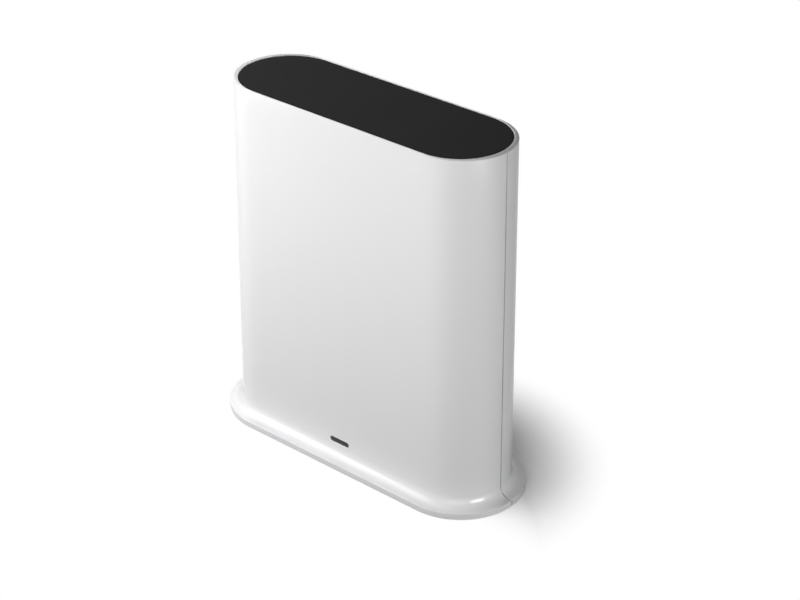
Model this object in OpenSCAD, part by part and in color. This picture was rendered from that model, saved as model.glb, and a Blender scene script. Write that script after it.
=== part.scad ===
// Base station for wireless security cameras: a slim upright case on a flared foot, parted into a
// front and a rear shell, with a dark top panel, a status light low on the front and sockets behind.
// Millimetres. +Z is up, the front faces -Y, and the origin is on the floor under the middle.

/* [Case] */
// Height from the underside of the flange to the rim
case_h = 150; // [140:1:165]
// Depth of the case above the flare, front to back
case_d = 41.5; // [40:0.5:46]
// Width of the case at the rim
rim_w = 127; // [124:1:140]
// Extra width at the flange, because the round ends lean out
lean_w = 4.5; // [2:0.5:6]
// Thickness of the moulded walls
wall = 2; // [1.7:0.1:2.3]
// Width of the seam between the two shells
seam_gap = 0.3; // [0.2:0.05:0.5]
// Thickness of the lip behind the seam
lip_t = 1; // [0.8:0.1:1.4]
// How far the lip reaches past the seam, each way
lip_reach = 2; // [1.5:0.25:3]

/* [Flared foot] */
// How far the flange stands out from the case
flange_reach = 5.75; // [5:0.25:7]
// Height of the flange's upright edge
flange_h = 2.8; // [2.6:0.1:4]
// Radius of the flange's soft upper edge
edge_r = 0.5; // [0.3:0.1:0.8]
// Thickness of the base plate
plate_t = 2; // [1.8:0.1:2.4]
// How far the base plate lies above the flange's underside
plate_inset = 0.4; // [0.2:0.1:0.6]
// Width of the flange's wall round the base plate
flange_wall = 2.1; // [1.8:0.1:2.6]
// Width of the rubber foot pad's ring
pad_w = 4; // [3:0.5:5]
// Depth of the pad's groove in the base plate
pad_seat = 0.8; // [0.5:0.1:1]
// How far the pad stands below the flange
pad_proud = 0.6; // [0.4:0.1:1]
// Rim of the base plate outside the pad's groove
pad_margin = 1.4; // [1:0.1:2]
// Width of an air slot in the base plate
vent_w = 2; // [1.5:0.1:2.5]
// Length of an air slot
vent_l = 18; // [12:1:20]
// Distance between air slots
vent_pitch = 6; // [5:0.5:7]
// Number of air slots
vent_n = 9; // [3:2:9]

/* [Top panel] */
// Thickness of the dark top panel
panel_t = 2; // [1.6:0.1:3]
// Rim left along the front and back of the panel
rim_side = 0.6; // [0.5:0.1:1]
// Rim left at each round end of the panel
rim_end = 2.1; // [1.8:0.1:3]
// How far the panel lies below the rim
panel_drop = 0.2; // [0:0.1:0.5]
// Thickness of the shelf that carries the panel
shelf_t = 2.4; // [2:0.1:3]
// Width of the shelf inside the wall
shelf_w = 2.5; // [2:0.1:4]
// Width of a clip under the panel
clip_w = 7; // [5:0.5:10]
// Thickness of a clip's leg
clip_t = 1.6; // [1.2:0.1:2]
// How far a clip's barb reaches under the shelf
barb = 0.8; // [0.5:0.1:1.2]
// Distance from the middle to each clip
clip_x = 25; // [15:1:30]

/* [Status light] */
// Width of the light's slot in the front
light_w = 9.2; // [7:0.1:12]
// Height of the light's slot
light_h = 2.7; // [2.2:0.1:3]
// Height of the light above the flange's underside
light_z = 9.8; // [9.6:0.1:12]
// Flange of the lens behind the wall
lens_lip = 1.5; // [1:0.1:1.7]
// Thickness of that flange
lens_lip_t = 1.2; // [0.8:0.1:1.6]
// Inset of the light pipe from the lens outline
pipe_inset = 0.4; // [0.3:0.1:0.6]
// Width, height and thickness of the light chip
led_size = [3.2, 2.6, 1.6];
// Gap between the light chip and the light pipe
led_gap = 0.3; // [0.2:0.1:0.5]

/* [Circuit board] */
// Width of the main board
board_w = 104; // [98:1:108]
// Height of the main board
board_h = 120; // [112:1:124]
// Thickness of the main board
board_t = 1.6; // [1:0.2:2]
// Height of the board's lower edge above the base plate
board_rise = 3; // [2:0.5:4]
// Distance of the screw holes from the board's edges
hole_in = 5; // [4:0.5:6]
// Radius of the screw posts in the shells
post_r = 3; // [2.6:0.1:3.4]
// Width and height of the processor's can
can_size = 36; // [30:1:40]
// Depth of the cans on the board
can_t = 2.6; // [2.4:0.1:4]
// Thickness of a can's sheet
can_sheet = 0.3; // [0.2:0.05:0.4]
// Width and height of the processor
chip_size = 17; // [12:1:22]
// Thickness of the processor
chip_t = 1.3; // [1:0.1:1.6]
// Thickness of the soft pad between can and heat spreader
soft_t = 1; // [0.5:0.1:2]
// Width and height of the heat spreader
spread_size = 62; // [50:1:66]
// Thickness of the heat spreader
spread_t = 1.5; // [1:0.1:2]
// Height of the processor above the board's lower edge
chip_z = 70; // [66:1:76]
// Width and height of a radio's can
radio_size = [22, 18];
// Width and height of an aerial strip
aerial_size = [28, 12];
// Thickness of an aerial strip
aerial_t = 0.4; // [0.3:0.1:0.6]
// Radius of an aerial lead
lead_r = 0.6; // [0.5:0.05:0.8]

/* [Sockets and buttons] */
// Depth of the sockets, from the board to their mouths
socket_d = 17.5; // [16.5:0.1:18]
// Thickness of the dark panel round the sockets
io_t = 1.6; // [1.2:0.1:2]
// Space between neighbours in the row
io_gap = 3; // [2.5:0.1:3.4]
// Space between the row and the edge of the window
io_margin = 2; // [1.5:0.1:2.5]
// Overlap of the panel behind the window's edge
io_lap = 2.2; // [2:0.1:2.4]
// Height of the window above the flare
io_rise = 6; // [5:0.5:15]
// How far the socket mouths lie below the panel's face
mouth_inset = 0.2; // [0.1:0.05:0.4]
// Width of the network socket
eth_w = 16; // [15:0.5:17]
// Height of the network socket
eth_h = 13.5; // [12.5:0.5:15]
// Width and height of the network plug's space
eth_mouth = [11.9, 7];
// Width and height of the two steps for the plug's latch
eth_latch = [[6.2, 1.6], [3.6, 1.1]];
// Depth of the network plug's space
eth_depth = 13; // [11:0.5:14]
// Width of the USB socket
usb_w = 13.2; // [13:0.1:14]
// Height of the USB socket
usb_h = 5.8; // [5.6:0.1:6.4]
// Thickness of the USB socket's sheet
usb_sheet = 0.3; // [0.2:0.05:0.4]
// Depth of the USB socket's open part
usb_depth = 10.5; // [9:0.5:12]
// Width and thickness of the USB tongue
usb_tongue_size = [11.1, 1.84];
// Radius of the power inlet
inlet_r = 5; // [4.5:0.1:5.5]
// Radius of the power inlet's bore
inlet_bore_r = 3.15; // [2.8:0.05:3.4]
// Radius of the power inlet's pin
inlet_pin_r = 1; // [0.8:0.05:1.25]
// Depth of the power inlet's bore
inlet_depth = 10; // [9:0.5:12]
// Radius of the pairing button
sync_r = 4.4; // [4:0.1:5]
// Travel of the pairing button
sync_travel = 0.6; // [0.3:0.1:0.8]
// Radius of the power button
power_r = 3.4; // [3.2:0.1:4]
// Travel of the power button
power_travel = 1.5; // [1:0.1:1.8]
// How far the power button stands out of the panel
power_proud = 1.8; // [1.6:0.1:2]
// How far the pairing button stands out of the panel
sync_proud = 1; // [0.6:0.1:1.6]
// Travel of the reset plunger
reset_travel = 0.3; // [0.2:0.05:0.4]
// Radius of the hole to the reset plunger
reset_hole_r = 0.8; // [0.6:0.05:1]
// Gap between the reset plunger and its hole
reset_gap = 0.8; // [0.5:0.1:0.9]
// Width, height and depth of the small switches
switch_size = [6, 6, 3.6];
// Width, height and depth of the power switch
latch_switch_size = [8, 8, 8.4];
// Radius of the switch plungers
plunger_r = 1.7; // [1.5:0.05:1.9]
// Length of plunger left out of a switch when it is pressed
plunger_out = 0.4; // [0.3:0.1:0.6]
// Flange of a button behind the panel
button_lip = 1; // [0.8:0.1:1.2]
// Thickness of that flange
button_lip_t = 1.2; // [1:0.1:1.5]
// Radius of a button's stem
stem_r = 2; // [1.8:0.1:2.4]

/* [Fasteners and fits] */
// Radius of the screws' shanks
screw_r = 1.2; // [1:0.05:1.4]
// Radius of the screws' heads
head_r = 2.3; // [2:0.1:2.5]
// Height of the screws' heads
head_h = 0.9; // [0.7:0.05:1]
// Length of the screws under the head
screw_l = 7; // [6:0.5:8]
// Distance from the middle to the base screws, sideways
base_screw_x = 36; // [33:1:38]
// Distance from the middle to the base screws, front to back
base_screw_y = 12.5; // [12:0.25:13]
// Clearance round fixed pieces that drop into place
fit_gap = 0.1; // [0.05:0.01:0.15]
// Clearance round pieces that slide
slide_gap = 0.15; // [0.1:0.01:0.2]
// Clearance of a switch plunger in its bore
plunger_gap = 0.08; // [0.05:0.01:0.1]
// Clearance of a screw in the hole that it bites
screw_gap = 0.05; // [0.02:0.01:0.1]
// Clearance of a screw in the hole that it passes
pass_gap = 0.3; // [0.2:0.05:0.4]

/* [Hidden] */
$fn = 64;

// Colours
white = [0.93, 0.93, 0.94];
black = [0.13, 0.13, 0.14];
board_green = [0.1, 0.35, 0.2];
steel = [0.75, 0.76, 0.78];
brass = [0.85, 0.7, 0.35];

// Radii and half-lengths of the case's plan, a straight middle with a round at each end
body_r = case_d / 2;
inner_r = body_r - wall;
flange_r = body_r + flange_reach;
flare_r = flange_reach - edge_r;
rim_a = (rim_w - case_d) / 2;
lean = lean_w / 2 / case_h;
lean_angle = atan(lean);

// Heights
z_foot = pad_proud;
z_rim = z_foot + case_h;
z_flange = z_foot + flange_h;
z_flare = z_flange + flare_r;
z_plate = z_foot + plate_inset;
z_ledge = z_plate + plate_t;
z_shelf = z_rim - panel_drop - panel_t;
z_ceiling = z_shelf - shelf_t;
z_light = z_foot + light_z;

// Middle of a round end at a height, and at the foot
function end_a(z) = rim_a + lean * (z_rim - z);
flare_a = round(100 * end_a(z_flare)) / 100;

// A cut reaches this far past what it cuts, and a fixed piece this far into its wall
past = 1;
root = wall / 2;
far = rim_w;
// The flare starts this far inside the wall that it runs out of
tuck = 0.15;
// The flat front and back lie this far inside the round ends, so that they meet in a clean edge
blend = 0.005;
flat_y = inner_r - blend;

// Flare, and the cone under it that leaves a wall of even thickness
curve_r = body_r + flare_r - tuck;
core_slope = 1.5;
core_r = curve_r - sqrt(pow(flare_r + wall, 2) - pow(z_flare - z_ledge, 2));
core_top_r = inner_r - past;
z_core = z_ledge + core_slope * (core_r - core_top_r);

// Recess of the top panel, and the hole in its shelf
recess_r = body_r - rim_side;
recess_a = rim_w / 2 - rim_end - recess_r;
shelf_r = inner_r - shelf_w;

// Base plate and foot pad
plate_hole_r = flange_r - flange_wall;
plate_r = plate_hole_r - fit_gap;
groove_out = plate_r - pad_margin;
groove_in = groove_out - pad_w - 2 * fit_gap;
counterbore_r = head_r + pass_gap;
counterbore_d = head_h + fit_gap;

// Depths: the row of sockets sets the board's place behind the rear wall
y_mouth = flat_y - mouth_inset;
y_board = y_mouth - socket_d;
y_front = y_board - board_t;
y_io = flat_y - io_t;
z_board = z_ledge + board_rise;
z_chip = z_board + chip_z;
hole_x = board_w / 2 - hole_in;
hole_z = [z_board + hole_in, z_board + board_h - hole_in];
y_can = y_board + can_t;
y_soft = y_can + soft_t;

// Row of sockets and buttons, from -X to +X: pairing, reset, USB, network, power button, inlet
io_widths = [2 * sync_r, switch_size[0], usb_w, eth_w, latch_switch_size[0], 2 * inlet_r];
function sum_to(list, n) = n == 0 ? 0 : list[n - 1] + sum_to(list, n - 1);
row_w = sum_to(io_widths, len(io_widths)) + io_gap * (len(io_widths) - 1);
function io_x(i) = sum_to(io_widths, i) + io_gap * i + io_widths[i] / 2 - row_w / 2;
window_w = row_w + 2 * io_margin;
window_h = eth_h + 2 * io_margin;
window_r = 3;
z_io = z_flare + io_rise + window_h / 2;
stake_r = 0.7;
stake_x = window_w / 2 + io_lap / 2;
stake_z = window_h / 2 - window_r;
x_sync = io_x(0);
x_reset = io_x(1);
x_usb = io_x(2);
x_eth = io_x(3);
x_power = io_x(4);
x_inlet = io_x(5);

// Network plug's space: its ceiling is above the socket's middle by half of all its steps
eth_top = z_io + (eth_mouth[1] + eth_latch[0][1] + eth_latch[1][1]) / 2;
eth_pins = 8;
eth_pin_pitch = 1.02;
eth_pin = 0.35;
eth_pin_l = 9;
eth_pin_slope = 11;

// Large parts above the sockets
part_rise = 5;
z_parts = z_io + window_h / 2 + part_rise;
transformer_size = [15, 10, 6];
inductor_size = [7, 7, 4];
cap_r = 3.15;
cap_l = 7.7;
cap_pitch = 8;

// Aerial strips on the front wall, and their plugs on the board
aerial_drop = 4;
aerial_in = 2.75;
aerial_x = rim_a - aerial_in - aerial_size[0] / 2;
z_aerial = z_ceiling - aerial_drop - aerial_size[1] / 2;
plug_r = 1.4;
plug_h = 1.8;
plug_l = 3.2;
plug_in = 11;
plug_x = board_w / 2 - plug_in;
z_plug = z_board + board_h - plug_in;
lead_bend = 11;
lead_rings = 14;
lead_sides = 8;
radio_x = 24;
z_radio = z_plug - radio_size[1];

// Solid with a straight middle and a round at each end, standing on the plan
module stadium_block(a, r, h) {
    translate([-a, -r, 0]) cube([2 * a, 2 * r, h]);
    for (side = [0, 1])
        mirror([side, 0, 0])
            translate([a, 0, 0])
                rotate(-90)
                    rotate_extrude(angle = 180)
                        square([r, h]);
}

// Slot-shaped solid along Y, w wide and h high, from y to y + d, about the height z
module slot_block(w, h, y, d, z) {
    translate([0, y + d, z])
        rotate([90, 0, 0])
            stadium_block((w - h) / 2, h / 2, d);
}

// Box given by its middle in X and Z, and by where it starts in Y
module wall_box(x, y, z, size) {
    translate([x - size[0] / 2, y, z - size[1] / 2])
        cube([size[0], size[2], size[1]]);
}

// Round rod along +Y from y to y + l
module rod(x, y, z, r, l) {
    translate([x, y, z])
        rotate([-90, 0, 0])
            cylinder(r = r, h = l);
}

// Front half of the leaning plan, of radius r about the middles of its ends, from z0 to z1
module lean_half(r, z0, z1) {
    low = z0 - past;
    high = z1 + past;
    intersection() {
        union() {
            rotate([90, 0, 0])
                linear_extrude(r - blend)
                    polygon([[-end_a(low), low], [end_a(low), low],
                             [end_a(high), high], [-end_a(high), high]]);
            for (side = [0, 1])
                mirror([side, 0, 0])
                    translate([end_a(low), 0, low])
                        rotate([0, -lean_angle, 0])
                            rotate(180)
                                rotate_extrude(angle = 180)
                                    square([r, high - low]);
        }
        translate([-far, -far, z0]) cube([2 * far, 2 * far, z1 - z0]);
    }
}

// Sweeps a profile of radius and height round the front half of the foot's plan
module foot_half() {
    for (side = [0, 1])
        mirror([side, 0, 0])
            translate([flare_a, 0, 0])
                rotate(-90)
                    rotate_extrude(angle = 90)
                        children();
    rotate([90, 0, 90])
        translate([0, 0, -flare_a])
            linear_extrude(2 * flare_a)
                mirror([1, 0])
                    children();
}

// Section of the solid foot: flange, soft edge and hollow flare
module flare_profile() {
    difference() {
        union() {
            translate([0, z_foot]) square([flange_r, flange_h - edge_r]);
            translate([0, z_foot]) square([flange_r - edge_r, flange_h]);
            translate([flange_r - edge_r, z_flange - edge_r]) circle(edge_r);
            translate([0, z_flange - edge_r]) square([curve_r, flare_r + edge_r]);
        }
        translate([curve_r, z_flare]) circle(flare_r);
    }
}

// Section of the space inside the foot: the base plate's seat, and a cone under the flare
module core_profile() {
    translate([0, z_foot - past]) square([plate_hole_r, z_ledge - z_foot + past]);
    polygon([[0, z_ledge - past], [core_r + past / core_slope, z_ledge - past],
             [core_top_r, z_core], [0, z_core]]);
}

// Front half of the case with no holes
module case_half() {
    difference() {
        union() {
            lean_half(body_r, z_flange - flange_h / 2, z_rim);
            foot_half() flare_profile();
        }
        lean_half(inner_r, z_plate, z_ceiling);
        foot_half() core_profile();
    }
}

// Posts for the base screws, in the front half, with a rib to the wall
module base_posts() {
    for (x = [-base_screw_x, base_screw_x]) {
        translate([x, -base_screw_y, z_ledge])
            cylinder(r = post_r, h = screw_l);
        translate([x - root / 2, root - body_r, z_ledge])
            cube([root, body_r - root - base_screw_y, screw_l]);
    }
}

module base_post_holes() {
    for (x = [-base_screw_x, base_screw_x])
        translate([x, -base_screw_y, z_ledge - past])
            cylinder(r = screw_r + screw_gap, h = screw_l + past - root);
}

// Recess for the top panel and the hole in its shelf
module panel_recess() {
    translate([0, 0, z_shelf])
        stadium_block(recess_a, recess_r, z_rim - z_shelf + past);
    translate([0, 0, z_ceiling - past])
        stadium_block(recess_a, shelf_r, shelf_t + 2 * past);
}

// Everything behind the seam, seen from the front half
module seam_cut() {
    translate([-far, -seam_gap / 2, -past])
        cube([2 * far, far, z_rim + 2 * past]);
}

// Cradle on the front wall, under the light pipe
cradle_t = 1.2;
cradle_y = -inner_r / 2;
cradle_bar = 3;
pipe_w = light_w - 2 * fit_gap - 2 * pipe_inset;
pipe_h = light_h - 2 * fit_gap - 2 * pipe_inset;
lens_lip_w = light_w + 2 * lens_lip;
cradle_x = lens_lip_w / 2 + fit_gap;
module light_cradle() {
    z = z_light - pipe_h / 2 - cradle_t;
    for (side = [0, 1])
        mirror([side, 0, 0])
            translate([cradle_x, root - body_r, z])
                cube([cradle_t, body_r - root + cradle_y, cradle_t]);
    translate([-cradle_x - cradle_t, cradle_y - cradle_bar, z])
        cube([2 * (cradle_x + cradle_t), cradle_bar, cradle_t]);
}

module front_shell() {
    color(white)
    difference() {
        union() {
            difference() {
                case_half();
                seam_cut();
            }
            base_posts();
            light_cradle();
            for (x = [-hole_x, hole_x], z = hole_z)
                rod(x, root - body_r, z, post_r, body_r - root + y_front);
        }
        panel_recess();
        base_post_holes();
        slot_block(light_w, light_h, -body_r - past, wall + 2 * past, z_light);
        for (x = [-hole_x, hole_x], z = hole_z)
            rod(x, y_board - screw_l, z, screw_r + screw_gap, screw_l);
    }
}

// Window with rounded corners in the rear wall
module io_window() {
    w = window_w;
    h = window_h;
    d = wall + 2 * past;
    y = flat_y - past;
    wall_box(0, y, z_io, [w - 2 * window_r, h, d]);
    wall_box(0, y, z_io, [w, h - 2 * window_r, d]);
    for (x = [-1, 1], z = [-1, 1])
        rod(x * (w / 2 - window_r), y, z_io + z * (h / 2 - window_r), window_r, d);
}

// Lip at each end of the rear shell, which closes the seam from inside
module seam_lip() {
    z0 = z_flare + past;
    z1 = z_ceiling - past;
    for (side = [0, 1])
        mirror([side, 0, 0])
            translate([end_a(z0) + inner_r, 0, z0])
                rotate([0, -lean_angle, 0]) {
                    translate([-lip_t - slide_gap - fit_gap, -lip_reach, 0])
                        cube([lip_t, 2 * lip_reach, z1 - z0]);
                    translate([-lip_t - slide_gap - fit_gap, lip_reach - root, 0])
                        cube([lip_t + root, root, z1 - z0]);
                }
}

module rear_shell() {
    color(white) {
        difference() {
            mirror([0, 1, 0]) {
                case_half();
                base_posts();
            }
            mirror([0, 1, 0]) {
                seam_cut();
                base_post_holes();
            }
            panel_recess();
            io_window();
        }
        seam_lip();
        for (x = [-stake_x, stake_x], z = [z_io - stake_z, z_io + stake_z])
            rod(x, y_io - stake_r, z, stake_r, io_t + stake_r + root);
    }
}

module top_panel() {
    leg_y = shelf_r - fit_gap;
    z_barb = z_ceiling - fit_gap;
    color(black) {
        translate([0, 0, z_shelf])
            stadium_block(recess_a, recess_r - fit_gap, panel_t);
        for (x = [-clip_x, clip_x], side = [0, 1])
            mirror([0, side, 0])
                translate([x - clip_w / 2, leg_y - clip_t, z_barb - 2 * barb]) {
                    cube([clip_w, clip_t, z_shelf - z_barb + 2 * barb]);
                    rotate([90, 0, 90])
                        linear_extrude(clip_w)
                            polygon([[clip_t, 0], [clip_t + barb, 2 * barb], [clip_t, 2 * barb]]);
                }
    }
}

// Places of the base screws
module at_base_screws() {
    for (x = [-base_screw_x, base_screw_x], y = [-base_screw_y, base_screw_y])
        translate([x, y, z_plate])
            children();
}

module base_plate() {
    color(white)
    difference() {
        translate([0, 0, z_plate]) stadium_block(flare_a, plate_r, plate_t);
        translate([0, 0, z_plate - past])
            difference() {
                stadium_block(flare_a, groove_out, pad_seat + past);
                translate([0, 0, -past]) stadium_block(flare_a, groove_in, pad_seat + 3 * past);
            }
        at_base_screws() {
            translate([0, 0, -past]) cylinder(r = counterbore_r, h = counterbore_d + past);
            cylinder(r = screw_r + pass_gap, h = plate_t + past);
        }
        for (i = [0 : vent_n - 1])
            translate([(i - (vent_n - 1) / 2) * vent_pitch, 0, z_plate - past])
                rotate(90)
                    stadium_block((vent_l - vent_w) / 2, vent_w / 2, plate_t + 2 * past);
    }
}

module foot_pad() {
    color(black)
    difference() {
        stadium_block(flare_a, groove_out - fit_gap, z_plate + pad_seat);
        translate([0, 0, -past])
            stadium_block(flare_a, groove_in + fit_gap, z_plate + pad_seat + 2 * past);
    }
}

// Screw with its head's bearing face at the origin, pointing along +Z
module screw(l) {
    translate([0, 0, -head_h])
        difference() {
            cylinder(r = head_r, h = head_h);
            translate([0, 0, -past]) cylinder(r = screw_r, h = past + head_h / 2, $fn = 6);
        }
    cylinder(r = screw_r, h = l);
}

module base_screws() {
    color(steel)
    at_base_screws() {
        translate([0, 0, counterbore_d])
            screw(plate_t - counterbore_d + screw_l - 2 * root);
    }
}

module indicator_lens() {
    lens_t = wall - fit_gap;
    color([0.25, 0.25, 0.27]) {
        slot_block(light_w - 2 * fit_gap, light_h - 2 * fit_gap, -flat_y - lens_t, lens_t, z_light);
        slot_block(lens_lip_w, light_h + lens_lip, -flat_y, lens_lip_t, z_light);
    }
}

module light_pipe() {
    y = lens_lip_t - flat_y;
    color([0.85, 0.9, 0.95, 0.6])
        wall_box(0, y, z_light, [pipe_w, pipe_h, y_front - led_size[2] - led_gap - y]);
}

module status_led() {
    color([0.95, 0.95, 0.8])
        wall_box(0, y_front - led_size[2], z_light, led_size);
}

module main_board() {
    color(board_green)
    difference() {
        wall_box(0, y_front, z_board + board_h / 2, [board_w, board_h, board_t]);
        for (x = [-hole_x, hole_x], z = hole_z)
            rod(x, y_front - past, z, screw_r + pass_gap, board_t + 2 * past);
    }
}

module board_screws() {
    color(steel)
        for (x = [-hole_x, hole_x], z = hole_z)
            translate([x, y_board, z])
                rotate([90, 0, 0])
                    screw(screw_l - root);
}

module processor() {
    color(black)
        wall_box(0, y_board, z_chip, [chip_size, chip_size, chip_t]);
}

// Can of thin sheet, open towards the board, rising along +Y from y
module can(x, y, z, size) {
    hollow = [size[0] - 2 * can_sheet, size[1] - 2 * can_sheet, size[2] - can_sheet + past];
    difference() {
        wall_box(x, y, z, size);
        wall_box(x, y - past, z, hollow);
    }
}

module processor_shield() {
    color(steel)
        can(0, y_board, z_chip, [can_size, can_size, can_t]);
}

// One pad between processor and can, one between can and heat spreader
module thermal_pads() {
    y = y_board + chip_t;
    color([0.55, 0.65, 0.75]) {
        wall_box(0, y, z_chip, [chip_size, chip_size, y_can - can_sheet - y]);
        wall_box(0, y_can, z_chip, [can_size, can_size, soft_t]);
    }
}

// Plate on the pad, with four feet on the board
module heat_spreader() {
    foot_at = spread_size / 2 - post_r;
    color([0.8, 0.81, 0.83]) {
        wall_box(0, y_soft, z_chip, [spread_size, spread_size, spread_t]);
        for (x = [-1, 1], z = [-1, 1])
            rod(x * foot_at, y_board, z_chip + z * foot_at, screw_r, y_soft - y_board);
    }
}

module radio_shields() {
    color(steel)
        mirror([0, 1, 0])
            for (x = [-radio_x, radio_x])
                can(x, -y_front, z_radio, [radio_size[0], radio_size[1], can_t]);
}

module left_antenna() {
    color([0.2, 0.2, 0.25])
        wall_box(-aerial_x, -flat_y, z_aerial, [aerial_size[0], aerial_size[1], aerial_t]);
}

module right_antenna() {
    mirror([1, 0, 0]) left_antenna();
}

// Point at t on the curve that leaves the plug upwards and meets the aerial strip head on
lead_start = [-plug_x, y_front - plug_h / 2, z_plug + plug_l / 2];
lead_end = [-aerial_x, aerial_t - flat_y, z_aerial];
lead_points = [lead_start, lead_start + [0, 0, lead_bend], lead_end + [0, lead_bend, 0], lead_end];
function lead_at(t) = pow(1 - t, 3) * lead_points[0] + 3 * t * pow(1 - t, 2) * lead_points[1]
    + 3 * t * t * (1 - t) * lead_points[2] + t * t * t * lead_points[3];
function lead_way(t) = pow(1 - t, 2) * (lead_points[1] - lead_points[0])
    + 2 * t * (1 - t) * (lead_points[2] - lead_points[1]) + t * t * (lead_points[3] - lead_points[2]);
function unit(v) = v / norm(v);
function lead_ring(t) =
    let (side = unit(cross([1, 0, 0], lead_way(t))), other = unit(cross(lead_way(t), side)))
    [for (i = [0 : lead_sides - 1])
        let (turn = 360 * i / lead_sides)
        lead_at(t) + lead_r * (cos(turn) * side + sin(turn) * other)];

module left_antenna_lead() {
    last = lead_rings - 1;
    points = [for (k = [0 : last]) each lead_ring(k / last)];
    sides = [for (k = [0 : last - 1], i = [0 : lead_sides - 1])
        let (a = k * lead_sides + i, b = k * lead_sides + (i + 1) % lead_sides)
        each [[a, a + lead_sides, b], [b, a + lead_sides, b + lead_sides]]];
    first_cap = [for (i = [1 : lead_sides - 2]) [0, i, i + 1]];
    end_cap = [for (f = first_cap) [f[0], f[2], f[1]] + last * lead_sides * [1, 1, 1]];
    color([0.3, 0.3, 0.32])
        polyhedron(points, concat(first_cap, sides, end_cap));
}

module right_antenna_lead() {
    mirror([1, 0, 0]) left_antenna_lead();
}

module antenna_plugs() {
    color(brass)
        for (x = [-plug_x, plug_x]) {
            rod(x, y_front - plug_h, z_plug, plug_r, plug_h);
            wall_box(x, y_front - plug_h, z_plug + plug_l / 4, [plug_h, plug_l / 2, plug_h]);
        }
}

module network_transformer() {
    color(black)
        wall_box(x_eth, y_board, z_parts, transformer_size);
}

module capacitors() {
    color([0.35, 0.4, 0.5])
        for (i = [0 : 1])
            rod(x_inlet - i * cap_pitch, y_board, z_parts, cap_r, cap_l);
}

module power_inductor() {
    color([0.3, 0.3, 0.3])
        wall_box(x_usb, y_board, z_parts, inductor_size);
}

module io_panel() {
    lap = 2 * io_lap;
    socket_gap = 2 * fit_gap;
    color(black)
    difference() {
        wall_box(0, y_io, z_io, [window_w + lap, window_h + lap, io_t]);
        wall_box(x_eth, y_io - past, z_io, [eth_w + socket_gap, eth_h + socket_gap, io_t + 2 * past]);
        wall_box(x_usb, y_io - past, z_io, [usb_w + socket_gap, usb_h + socket_gap, io_t + 2 * past]);
        rod(x_inlet, y_io - past, z_io, inlet_r + fit_gap, io_t + 2 * past);
        rod(x_sync, y_io - past, z_io, sync_r + slide_gap, io_t + 2 * past);
        rod(x_power, y_io - past, z_io, power_r + slide_gap, io_t + 2 * past);
        rod(x_reset, y_io - past, z_io, reset_hole_r, io_t + 2 * past);
        for (x = [-stake_x, stake_x], z = [z_io - stake_z, z_io + stake_z])
            rod(x, y_io - past, z, stake_r + screw_gap, io_t + 2 * past);
    }
}

module ethernet_socket() {
    y = y_mouth - eth_depth;
    d = eth_depth + past;
    z_step = eth_top - eth_mouth[1];
    color([0.2, 0.2, 0.22])
    difference() {
        wall_box(x_eth, y_board, z_io, [eth_w, eth_h, socket_d]);
        wall_box(x_eth, y, eth_top - eth_mouth[1] / 2, [eth_mouth[0], eth_mouth[1], d]);
        wall_box(x_eth, y, z_step - eth_latch[0][1] / 2, [eth_latch[0][0], eth_latch[0][1], d]);
        wall_box(x_eth, y, z_step - eth_latch[0][1] - eth_latch[1][1] / 2,
                 [eth_latch[1][0], eth_latch[1][1], d]);
    }
}

// Spring contacts that slope down from the ceiling of the plug's space
module ethernet_contacts() {
    color(brass)
        for (i = [0 : eth_pins - 1])
            translate([x_eth + (i - (eth_pins - 1) / 2) * eth_pin_pitch - eth_pin / 2,
                       y_mouth - past, eth_top - screw_gap])
                rotate([eth_pin_slope, 0, 0])
                    translate([0, -eth_pin_l, -eth_pin])
                        cube([eth_pin, eth_pin_l, eth_pin]);
}

module usb_socket_shell() {
    color(steel)
    difference() {
        wall_box(x_usb, y_board, z_io, [usb_w, usb_h, socket_d]);
        wall_box(x_usb, y_board - past, z_io,
                 [usb_w - 2 * usb_sheet, usb_h - 2 * usb_sheet, socket_d + 2 * past]);
    }
}

// Block that fills the back of the USB socket, with the tongue that a plug slides over
usb_in = [usb_w - 2 * usb_sheet - 2 * screw_gap, usb_h - 2 * usb_sheet - 2 * screw_gap];
usb_pin_t = 0.2;
usb_pin_w = 1;
usb_pin_pitch = 2.5;
usb_pins = 4;
tongue_l = usb_depth - 2 * past;
z_tongue = z_io + usb_tongue_size[1] / 4;
module usb_tongue() {
    color([0.92, 0.92, 0.9]) {
        wall_box(x_usb, y_board, z_io, [usb_in[0], usb_in[1], socket_d - usb_depth]);
        wall_box(x_usb, y_mouth - usb_depth, z_tongue,
                 [usb_tongue_size[0], usb_tongue_size[1], tongue_l]);
    }
}

module usb_contacts() {
    z = z_tongue - usb_tongue_size[1] / 2 - usb_pin_t / 2;
    color(brass)
        for (i = [0 : usb_pins - 1])
            wall_box(x_usb + (i - (usb_pins - 1) / 2) * usb_pin_pitch, y_mouth - usb_depth, z,
                     [usb_pin_w, usb_pin_t, tongue_l - past]);
}

module power_inlet() {
    color(black)
    difference() {
        rod(x_inlet, y_board, z_io, inlet_r, socket_d);
        rod(x_inlet, y_mouth - inlet_depth, z_io, inlet_bore_r, inlet_depth + past);
    }
}

module power_inlet_pin() {
    color(steel)
        rod(x_inlet, y_mouth - inlet_depth, z_io, inlet_pin_r, inlet_depth - past);
}

// Where the buttons' stems meet their plungers
y_sync = y_board + switch_size[2] + sync_travel + plunger_out;
y_power = y_board + latch_switch_size[2] + power_travel + plunger_out;

// Button in the panel: cap, flange behind the panel, and a stem down to its plunger
module push_button(x, r, proud, y_stem) {
    y_lip = y_io - slide_gap - button_lip_t;
    rod(x, y_lip, z_io, r, flat_y + proud - y_lip);
    rod(x, y_lip, z_io, r + button_lip, button_lip_t);
    rod(x, y_stem, z_io, stem_r, y_lip - y_stem);
}

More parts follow.
